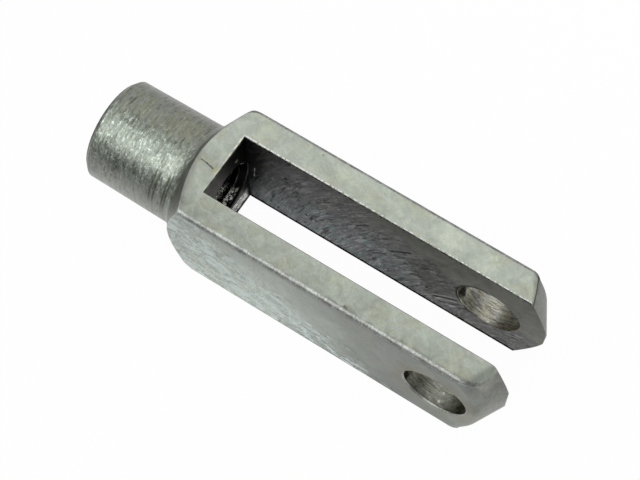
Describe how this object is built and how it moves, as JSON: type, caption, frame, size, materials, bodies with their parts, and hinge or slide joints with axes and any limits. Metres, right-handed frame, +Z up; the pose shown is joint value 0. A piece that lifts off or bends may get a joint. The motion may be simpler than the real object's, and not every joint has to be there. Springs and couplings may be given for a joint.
{
  "type": "clevis rod end",
  "caption": "Long solid steel fork head: a square fork with a plain cross hole for a pin, and a round neck tapped along its axis for a rod.",
  "frame": {"origin": "the middle of the pin hole, where the pin axis crosses the rod axis", "axes": "+X along the rod axis, from the threaded neck towards the fork's open end; +Y along the pin axis, towards the arm with the doubly dressed tip; +Z up, the way the slot runs through, with the part lying on its square flat"},
  "size_m": [0.086, 0.024, 0.024],
  "materials": {
    "steel": "bare machined steel, turned on the neck, milled in the slot, drawn and faintly mottled on the flats"
  },
  "bodies": {
    "root": {"clevis_body": "steel"}
  },
  "joints": []
}
